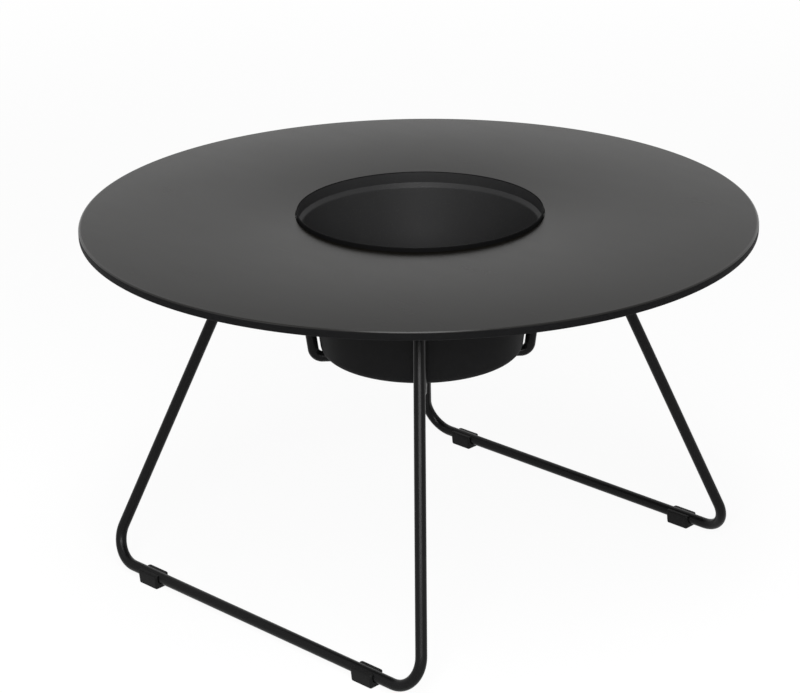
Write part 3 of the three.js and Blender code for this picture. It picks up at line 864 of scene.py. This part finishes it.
class PATIO_TABLE_OT_tabs(bpy.types.Operator):
    """Make the four mounting tabs that are welded on the rods."""
    bl_idname = "patio_table.tabs"
    bl_label = "Mounting Tabs"

    def execute(self, context):
        sizes = context.scene.patio_table_frame
        material = frame_coat()
        end_radius = sizes.tab_width / 2
        end_centre = sizes.screw_spacing / 2
        thickness = TAB_HIGH.z - (FRAME_HIGH.z + sizes.seat_gap)
        bead_reach = end_radius - sizes.tab_margin
        outlines = [
            [
                *arc(0, end_centre, end_radius, 0, 2 * QUARTER, TAB_END_STEPS),
                *arc(0, -end_centre, end_radius, 2 * QUARTER, 4 * QUARTER, TAB_END_STEPS),
            ],
            circle(0, end_centre, sizes.hole_radius, TAB_HOLE_SIDES),
            circle(0, -end_centre, sizes.hole_radius, TAB_HOLE_SIDES),
        ]
        for corner in CORNERS:
            name = f"welded_tab_{corner}"
            plate = flat_plate(name, outlines, thickness, sizes.tab_edge, material)
            beads = [weld_rings(-bead_reach, bead_reach, -1, flank) for flank in (-1, 1)]
            tab = welded(plate, beads, material)
            where = standing_at(corner, run_centre(), TAB_HIGH.z - thickness)
            placed(tab, where, "table", f"tab_{corner}")
        return {"FINISHED"}


class PATIO_TABLE_OT_cradle(bpy.types.Operator):
    """Make the round plate that the four rod ends are welded on."""
    bl_idname = "patio_table.cradle"
    bl_label = "Cradle Plate"

    def execute(self, context):
        sizes = context.scene.patio_table_frame
        material = frame_coat()
        radius = PLATE_HIGH.x
        thickness = rod_heights()[0] - sizes.rod_radius - sizes.seat_gap - PLATE_LOW.z
        outline = circle(0, 0, radius, DISC_SIDES)
        plate = flat_plate("cradle_disc", [outline], thickness, sizes.tab_edge, material)
        plate.data.transform(Matrix.Translation((0, 0, -thickness)))
        start = sizes.end_reach + sizes.rod_radius
        end = radius - sizes.plate_margin
        beads = []
        for corner in CORNERS:
            turn = standing_at(corner, 0, 0)
            for flank in (-1, 1):
                rings = weld_rings(start, end, 1, flank)
                beads.append([[tuple(turn @ Vector(v)) for v in ring] for ring in rings])
        disc = welded(plate, beads, material)
        where = Matrix.Translation((0, 0, PLATE_LOW.z + thickness))
        placed(disc, where, "table", "cradle_plate")
        return {"FINISHED"}


class PATIO_TABLE_OT_screws(bpy.types.Operator):
    """Make the button head screws with their hexagonal sockets."""
    bl_idname = "patio_table.screws"
    bl_label = "Screws"

    def execute(self, context):
        sizes = context.scene.patio_table_small_parts
        half_spacing = context.scene.patio_table_frame.screw_spacing / 2
        material = screw_oxide()
        head, shank, edge = sizes.head_radius, sizes.shank_radius, sizes.head_edge
        low = -sizes.head_height
        socket_floor = low + sizes.socket_depth
        tip = SCREW_HIGH.z - SCREW_LOW.z - sizes.head_height

        def hexagon(z, grow):
            """Ring along the flats of the socket."""
            sector = math.pi / 3
            ring = []
            for a in whole_turn(SCREW_SIDES):
                reach = (sizes.socket_flat + grow) / math.cos(a % sector - sector / 2)
                ring.append((reach * math.cos(a), reach * math.sin(a), z))
            return ring

        flat = sizes.head_flat * head
        dome = [(flat + (head - flat) * r, (sizes.head_height - edge) * z - edge)
                for r, z in arc(0, 0, 1, -QUARTER, 0, DOME_STEPS)]
        outline = [
            *dome,
            (head, 0),
            (shank, 0),
            (shank, tip - sizes.tip_chamfer),
            (shank - sizes.tip_chamfer, tip),
            (0, tip),
        ]
        rings = [
            [(0, 0, socket_floor)],
            hexagon(socket_floor, 0),
            hexagon(low + sizes.socket_chamfer, 0),
            hexagon(low, sizes.socket_chamfer),
            *turned(outline, SCREW_SIDES),
        ]
        for corner in CORNERS:
            for number, along in enumerate((-half_spacing, half_spacing), start=1):
                piece = finished(f"socket_screw_{corner}_{number}", rings, material)
                where = standing_at(corner, run_centre(), SCREW_LOW.z + sizes.head_height)
                where = where @ Matrix.Translation((0, along, 0))
                placed(piece, where, "table", f"screw_{corner}_{number}")
        return {"FINISHED"}


class PATIO_TABLE_OT_glides(bpy.types.Operator):
    """Make the moulded floor glides that clip on the runners."""
    bl_idname = "patio_table.glides"
    bl_label = "Floor Glides"

    def execute(self, context):
        sizes = context.scene.patio_table_small_parts
        frame_sizes = context.scene.patio_table_frame
        material = glide_plastic()
        end = (GLIDE_HIGH.x - GLIDE_LOW.x) / 2
        top = GLIDE_HIGH.z + sizes.glide_rise
        half_top = (GLIDE_HIGH.y - GLIDE_LOW.y) / 2
        half_foot = sizes.glide_foot_width / 2
        rod_z = FRAME_LOW.z + frame_sizes.rod_radius
        groove = frame_sizes.rod_radius + frame_sizes.seat_gap
        groove_end = end - sizes.groove_chamfer
        edge = sizes.glide_edge
        rounds = (sizes.glide_end_round, sizes.glide_low_round, sizes.glide_lip_round)

        def inset(x, radius):
            """How far a rounding of the ends has moved the surface in at a place along X."""
            past = max(0.0, abs(x) - (end - radius))
            return radius - math.sqrt(max(0.0, radius ** 2 - past ** 2))

        def section(x):
            """Outline across the glide at a place along X, one side and then its mirror image."""
            side, low, drop = (inset(x, radius) for radius in rounds)
            high = top - drop
            mouth = math.asin((high - rod_z) / groove)
            wide = groove + max(0.0, abs(x) - groove_end)
            one_side = [
                *arc(half_foot - side - edge, low + edge, edge, -QUARTER, 0, EDGE_STEPS),
                (half_top - side, rod_z),
                *arc(half_top - side - edge, high - edge, edge, 0, QUARTER, EDGE_STEPS),
                *arc(0, rod_z, wide, mouth, -QUARTER, GROOVE_STEPS),
            ]
            return [(x, y, z) for y, z in one_side] + [(x, -y, z) for y, z in one_side[-2::-1]]

        steps = [QUARTER * k / GLIDE_ROUND_STEPS for k in range(GLIDE_ROUND_STEPS + 1)]
        places = {end - radius * (1 - math.sin(a)) for radius in rounds for a in steps}
        stations = sorted({round(x, PLACE_DECIMALS) for x in (*places, groove_end)})
        rings = [section(x) for x in (*(-x for x in reversed(stations)), *stations)]
        for corner in CORNERS:
            low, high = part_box(f"glide_{corner}")
            piece = finished(f"clip_glide_{corner}", rings, material)
            work = bmesh.new()
            work.from_mesh(piece.data)
            bmesh.ops.holes_fill(work, edges=work.edges, sides=0)
            bmesh.ops.recalc_face_normals(work, faces=work.faces)
            work.to_mesh(piece.data)
            work.free()
            where = Matrix.Translation(((low.x + high.x) / 2, (low.y + high.y) / 2, 0))
            placed(piece, where, "table", f"glide_{corner}")
        return {"FINISHED"}


def towards(azimuth, elevation):
    """Unit vector from the table, turned from its near side and raised by a height angle."""
    level = math.cos(elevation)
    return Vector((math.sin(azimuth) * level, -math.cos(azimuth) * level, math.sin(elevation)))


def hung(light, azimuth, elevation, distance):
    """Object of a light that faces the table."""
    back = towards(azimuth, elevation)
    lamp = bpy.data.objects.new(light.name, light)
    lamp.rotation_mode = "QUATERNION"
    lamp.rotation_quaternion = (-back).to_track_quat("-Z", "Y")
    lamp.location = back * distance
    bpy.context.scene.collection.objects.link(lamp)
    return lamp


def side_light(stage):
    """Sun with a wide disc, from the left of the camera."""
    light = bpy.data.lights.new("side_light", "SUN")
    light.energy = stage.side
    light.angle = stage.side_disc
    hung(light, stage.azimuth + stage.side_turn, stage.side_rise, SUN_DISTANCE)


def overhead_light(stage):
    """Strip above, which the rounded edge of the top mirrors as a line."""
    light = panel("overhead_light", stage.overhead_width, stage.overhead_height, stage.overhead)
    azimuth = stage.azimuth + stage.overhead_turn
    hung(light, azimuth, stage.overhead_rise, stage.overhead_distance)


def softbox(stage):
    """Wide light beside the camera for the rods and the bucket, kept off the top."""
    light = panel("softbox", stage.softbox_width, stage.softbox_height, stage.softbox)
    azimuth = stage.azimuth + stage.softbox_turn
    lamp = hung(light, azimuth, stage.softbox_rise, stage.softbox_distance)
    keep_off(lamp, bpy.data.objects["round_top"])


def panel(name, width, height, power):
    """Rectangular light."""
    light = bpy.data.lights.new(name, "AREA")
    light.shape = "RECTANGLE"
    light.size = width
    light.size_y = height
    light.energy = power
    return light


def keep_off(lamp, piece):
    """Keeps a light off one piece."""
    skipped = bpy.data.collections.new(f"{lamp.name}_skips")
    skipped.objects.link(piece)
    skipped.collection_objects[0].light_linking.link_state = "EXCLUDE"
    lamp.light_linking.receiver_collection = skipped


def seen_white(shader):
    """1 for rays of the camera and for those that gloss and glass send."""
    rays = shader.node("ShaderNodeLightPath")
    return rays[CAMERA_RAY].most(rays[GLOSSY_RAY]).most(rays[PASSING_RAY])


def white_studio(stage):
    """Surroundings that look white but light matt surfaces only a little."""
    world = bpy.data.worlds.new("white_studio")
    shader = Shader(world)
    strength = stage.dome + (1 - stage.dome) * seen_white(shader)
    background = shader.node("ShaderNodeBackground", inputs={"Color": WHITE, "Strength": strength})
    shader.node("ShaderNodeOutputWorld", inputs={"Surface": background[0]})
    return world


def white_paper(stage):
    """Matt paper that looks nearly white under its shadows, and is clear from below."""
    paper = bpy.data.materials.new("white_paper")
    shader = Shader(paper)
    tint = rgba([stage.paper_white] * 3)
    matt = shader.node("ShaderNodeBsdfDiffuse", inputs={"Color": tint})[0]
    glow = shader.node("ShaderNodeEmission", inputs={"Color": WHITE, "Strength": 1.0})[0]
    place = shader.place()
    reach = shader.node("ShaderNodeVectorMath", {"operation": "LENGTH"}, {0: place})[VECTOR_LENGTH]
    far = reach.above(stage.glow_reach, stage.glow_fade)
    glowing = (stage.paper_glow + (1 - stage.paper_glow) * far) * seen_white(shader)
    below = shader.node("ShaderNodeNewGeometry")[BACK_OF_FACE]
    clear = shader.node("ShaderNodeBsdfTransparent")[0]
    surface = shader.either(below, shader.either(glowing, matt, glow), clear)
    shader.node("ShaderNodeOutputMaterial", inputs={"Surface": surface})
    return paper


def studio_floor(stage):
    """Square of paper just under the glides."""
    half = stage.floor_half
    square = [(-half, -half, 0), (half, -half, 0), (half, half, 0), (-half, half, 0)]
    mesh = bpy.data.meshes.new("studio_floor")
    mesh.from_pydata(square, [], [(0, 1, 2, 3)])
    mesh.materials.append(white_paper(stage))
    floor = bpy.data.objects.new("studio_floor", mesh)
    floor.location.z = -stage.floor_drop
    bpy.context.scene.collection.objects.link(floor)


def camera(stage):
    """Camera with its lens, its lean and the shift of its frame."""
    back = towards(stage.azimuth, stage.elevation)
    right = Vector((math.cos(stage.azimuth), math.sin(stage.azimuth), 0))
    up = back.cross(right)
    leaning_right = right * math.cos(stage.roll) + up * math.sin(stage.roll)
    leaning_up = up * math.cos(stage.roll) - right * math.sin(stage.roll)
    aim_height = Vector((0, 0, stage.aim_height))
    view = bpy.data.cameras.new("camera")
    view.sensor_width = 36.0
    view.lens = stage.lens
    view.shift_x = stage.shift_x
    view.shift_y = stage.shift_y
    made = bpy.data.objects.new("camera", view)
    made.location = back * stage.distance + right * stage.aim_aside + aim_height
    made.rotation_mode = "QUATERNION"
    axes = Matrix((leaning_right, leaning_up, back)).transposed()
    made.rotation_quaternion = axes.to_quaternion()
    bpy.context.scene.collection.objects.link(made)
    return made


class PATIO_TABLE_OT_stage(bpy.types.Operator):
    """Make the floor, the lights, the surroundings and the camera."""
    bl_idname = "patio_table.stage"
    bl_label = "Stage"

    def execute(self, context):
        scene = context.scene
        stage = scene.patio_table_stage
        scene.view_settings.view_transform = "Standard"
        scene.world = white_studio(stage)
        studio_floor(stage)
        side_light(stage)
        overhead_light(stage)
        softbox(stage)
        scene.camera = camera(stage)
        return {"FINISHED"}


OPERATORS = (
    PATIO_TABLE_OT_top,
    PATIO_TABLE_OT_bucket,
    PATIO_TABLE_OT_rods,
    PATIO_TABLE_OT_tabs,
    PATIO_TABLE_OT_cradle,
    PATIO_TABLE_OT_screws,
    PATIO_TABLE_OT_glides,
    PATIO_TABLE_OT_stage,
)


class PATIO_TABLE_PT_panel(bpy.types.Panel):
    """Pieces of the patio table and their sizes."""
    bl_idname = "PATIO_TABLE_PT_panel"
    bl_label = "Patio Table"
    bl_space_type = "VIEW_3D"
    bl_region_type = "UI"
    bl_category = "Patio Table"

    def draw(self, context):
        for operator in OPERATORS:
            self.layout.operator(operator.bl_idname)
        for name, group in GROUPS.items():
            box = self.layout.box()
            for key in group.__annotations__:
                box.prop(getattr(context.scene, name), key)


CLASSES = (*GROUPS.values(), *OPERATORS, PATIO_TABLE_PT_panel)


def register():
    for cls in CLASSES:
        bpy.utils.register_class(cls)
    for name, group in GROUPS.items():
        setattr(bpy.types.Scene, name, PointerProperty(type=group))


def unregister():
    for name in GROUPS:
        delattr(bpy.types.Scene, name)
    for cls in reversed(CLASSES):
        bpy.utils.unregister_class(cls)


def main():
    register()
    for operator in OPERATORS:
        group, name = operator.bl_idname.split(".")
        getattr(getattr(bpy.ops, group), name)()


if __name__ == "__main__":
    main()
